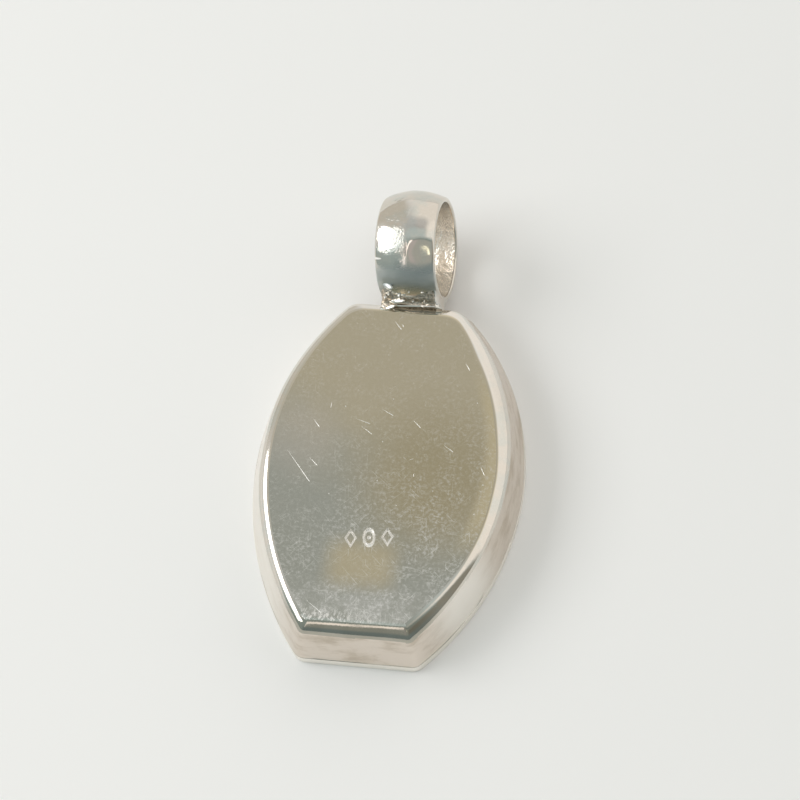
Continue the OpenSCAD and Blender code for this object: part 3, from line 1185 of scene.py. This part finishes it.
def oyster_shell(finish):
    """Polished shell: orange with deep red growth bands, pale streaks and fine grain"""
    shell = Surface("oyster_shell", finish.shell_deep, angle=0.35)
    flow = shell.plus(shell.y, shell.times(shell.cloud(0.12), 9.0))
    banded = shell.add("CombineXYZ", {"X": flow, "Y": shell.times(shell.x, 0.12)}).outputs[0]
    bands = shell.cloud(0.45, 4.0, 0.6, banded)
    fine = shell.cloud(2.4, 3.0, where=banded)
    shell.paint(shell.between(bands, 0.38, 0.56), finish.shell_mid)
    shell.paint(shell.between(bands, 0.60, 0.72), finish.shell_pale)
    shell.paint(shell.between(fine, 0.52, 0.70, 0.0, 0.35), finish.shell_deep)
    roughness = shell.between(shell.cloud(6.0, 3.0), 0.3, 0.7, 0.12, 0.24)
    return shell.complete(roughness, ((fine, 0.006),), Metallic=0.0, Coat_Weight=0.5, Coat_Roughness=0.08)


def pale_table(pale):
    """Plain matt table"""
    table = Surface("pale_table", pale)
    soft = table.cloud(0.02, 1.0)
    table.paint(soft, [min(part * 1.01, 1.0) for part in pale])
    roughness = table.between(soft, 0, 1, 0.75, 0.85)
    return table.complete(roughness, ((soft, 0.001),), Metallic=0.0, Specular_IOR_Level=0.2)


# Directions in the room, for the edges of what stands there. Far is beyond the bail.
RIGHT, LEFT, FAR, NEAR, LOW = (1, 0, 0), (-1, 0, 0), (0, 1, 0), (0, -1, 0), (0, 0, -1)
SLANT, BACK_SLANT = (1, -0.3, 0), (-1, 0.3, 0)


class PENDANT_OT_stage(bpy.types.Operator):
    """Set up the camera, the pale table and the soft light of a plain studio"""

    bl_idname = "pendant.stage"
    bl_label = "Set up the stage"

    # The window: direction from the pendant, distance, length along Y and height in metres, watts
    WINDOW = ((-0.78, 0.00, 0.62), 0.50, 0.39, 0.25, 1.0)
    # The room, as the silver shows it. Columns: height in the room, brightness
    ROOM = ((0.0, 0.88), (0.35, 0.80), (0.70, 0.68), (0.90, 0.62), (1.0, 0.48))
    ROOM_TINT = (0.99, 1.0, 0.99)
    # What stands round the pendant. Columns: its edges, how soft they are, colour.
    # An edge is a direction, and how far along it the thing begins.
    FURNITURE = (
        ({RIGHT: 0.24, FAR: -0.10}, 0.10, (1.06, 1.03, 0.98)),
        ({FAR: 0.60, RIGHT: -0.15}, 0.10, (0.96, 0.93, 0.88)),
        ({FAR: 0.42, LEFT: 0.28}, 0.10, (0.64, 0.62, 0.56)),
        ({NEAR: -0.24, FAR: -0.10, RIGHT: -0.42, LEFT: -0.26}, 0.08, (0.60, 0.67, 0.67)),
        ({NEAR: 0.08}, 0.08, (0.42, 0.49, 0.48)),
        ({NEAR: 0.08, RIGHT: 0.52}, 0.06, (0.30, 0.295, 0.255)),
        ({NEAR: 0.15, SLANT: 0.00, LEFT: -0.5}, 0.03, (0.27, 0.32, 0.31)),
        ({NEAR: 0.21, SLANT: 0.00, LEFT: -0.5}, 0.03, (0.45, 0.47, 0.44)),
        ({NEAR: 0.45, LOW: -0.50, RIGHT: -0.50}, 0.16, (0.28, 0.34, 0.35)),
        ({RIGHT: -0.07, LEFT: -0.10, NEAR: 0.20, FAR: -0.80}, 0.04, (0.54, 0.515, 0.505)),
        ({SLANT: -0.06, BACK_SLANT: -0.005, NEAR: 0.17, FAR: -0.84}, 0.012, (1.8, 1.65, 1.6)),
        ({RIGHT: 0.255, LEFT: -0.30, NEAR: 0.44, FAR: -0.51}, 0.015, (2.6, 2.5, 1.9)),
    )

    def camera(self, context, studio):
        azimuth, elevation = studio.azimuth, studio.elevation
        level = math.cos(elevation)
        back = Vector((math.sin(azimuth) * level, -math.cos(azimuth) * level, math.sin(elevation)))
        flat_right = Vector((math.cos(azimuth), math.sin(azimuth), 0))
        right = Matrix.Rotation(studio.roll, 3, back) @ flat_right
        data = bpy.data.cameras.new("camera")
        data.angle = studio.view
        data.clip_start = 0.01
        camera = bpy.data.objects.new("camera", data)
        context.scene.collection.objects.link(camera)
        aim = Vector((studio.look_side, studio.look_up, studio.look_height)) * MM
        turned = Matrix((right, back.cross(right), back)).transposed().to_4x4()
        camera.matrix_world = Matrix.Translation(aim + back * studio.distance * MM) @ turned
        context.scene.camera = camera

    def table(self, studio):
        clear_selection()
        bpy.ops.mesh.primitive_circle_add(vertices=96, radius=studio.table * MM / 2, fill_type="NGON")
        table = name_new("table")
        table.data.materials.append(pale_table(studio.pale))

    def window(self, context):
        direction, distance, long, height, watts = self.WINDOW
        data = bpy.data.lights.new("window_light", "AREA")
        data.shape = "RECTANGLE"
        data.size = long
        data.size_y = height
        data.energy = watts
        light = bpy.data.objects.new("window_light", data)
        away = Vector(direction).normalized()
        light.location = away * distance
        light.rotation_euler = away.to_track_quat("Z", "Y").to_euler()
        light.visible_camera = False
        context.scene.collection.objects.link(light)

    def room(self, context, pale):
        """What the silver reflects: a grey ceiling, light walls and a dark side where someone stands"""
        world = bpy.data.worlds.new("room")
        context.scene.world = world
        room = Nodes(world)
        direction = room.add("TexCoord").outputs["Generated"]
        height = room.add("SeparateXYZ", {0: direction}).outputs["Z"]
        ramp = room.add("ValToRGB", {"Fac": height})
        stops = ramp.color_ramp.elements
        for place, _ in self.ROOM[1:-1]:
            stops.new(place)
        for stop, (place, bright) in zip(stops, self.ROOM):
            stop.position = place
            stop.color = (*(bright * part for part in self.ROOM_TINT), 1)
        shown = ramp.outputs[0]
        for edges, soft, furniture_colour in self.FURNITURE:
            mask = 1.0
            for axis, start in edges.items():
                along = room.add("VectorMath", {0: direction, 1: axis}, operation="DOT_PRODUCT")
                mask = room.times(mask, room.between(along.outputs["Value"], start - soft, start + soft))
            shown = room.blend(mask, shown, furniture_colour)
        # The camera sees the table's colour behind the table
        shown = room.blend(room.add("LightPath").outputs["Is Camera Ray"], shown, pale)
        background = room.add("Background", {"Color": shown, "Strength": 1.0})
        room.add("OutputWorld", {"Surface": background.outputs[0]})

    def execute(self, context):
        studio = drawn(context, "studio")
        self.camera(context, studio)
        self.table(studio)
        self.window(context)
        self.room(context, studio.pale)
        context.scene.view_settings.view_transform = "Standard"
        return {"FINISHED"}


class PENDANT_PT_sidebar(bpy.types.Panel):
    """Sizes, colours and steps of the pendant"""

    bl_idname = "PENDANT_PT_sidebar"
    bl_label = "Spiny Oyster Pendant"
    bl_space_type = "VIEW_3D"
    bl_region_type = "UI"
    bl_category = "Pendant"

    def draw(self, context):
        for operator in OPERATORS:
            self.layout.operator(operator.bl_idname)
        for name, group in GROUPS.items():
            box = self.layout.box()
            box.label(text=group.__doc__)
            for key in group.__annotations__:
                box.prop(getattr(context.scene, name), key)


GROUPS = {
    "pendant_tray": TraySizes,
    "pendant_bail": BailSizes,
    "pendant_neck": NeckSizes,
    "pendant_marks": MarkSizes,
    "pendant_shell": ShellSizes,
    "pendant_finish": Finish,
    "pendant_studio": Studio,
}
OPERATORS = (
    PENDANT_OT_tray,
    PENDANT_OT_bail,
    PENDANT_OT_neck,
    PENDANT_OT_setting,
    PENDANT_OT_shell,
    PENDANT_OT_stage,
)
CLASSES = (*GROUPS.values(), *OPERATORS, PENDANT_PT_sidebar)


def register():
    for new_class in CLASSES:
        bpy.utils.register_class(new_class)
    for name, group in GROUPS.items():
        setattr(bpy.types.Scene, name, PointerProperty(type=group))


def unregister():
    for name in GROUPS:
        delattr(bpy.types.Scene, name)
    for old_class in reversed(CLASSES):
        bpy.utils.unregister_class(old_class)


def main():
    register()
    bpy.ops.pendant.tray()
    bpy.ops.pendant.bail()
    bpy.ops.pendant.neck()
    bpy.ops.pendant.setting()
    bpy.ops.pendant.shell()
    bpy.ops.pendant.stage()


if __name__ == "__main__":
    main()
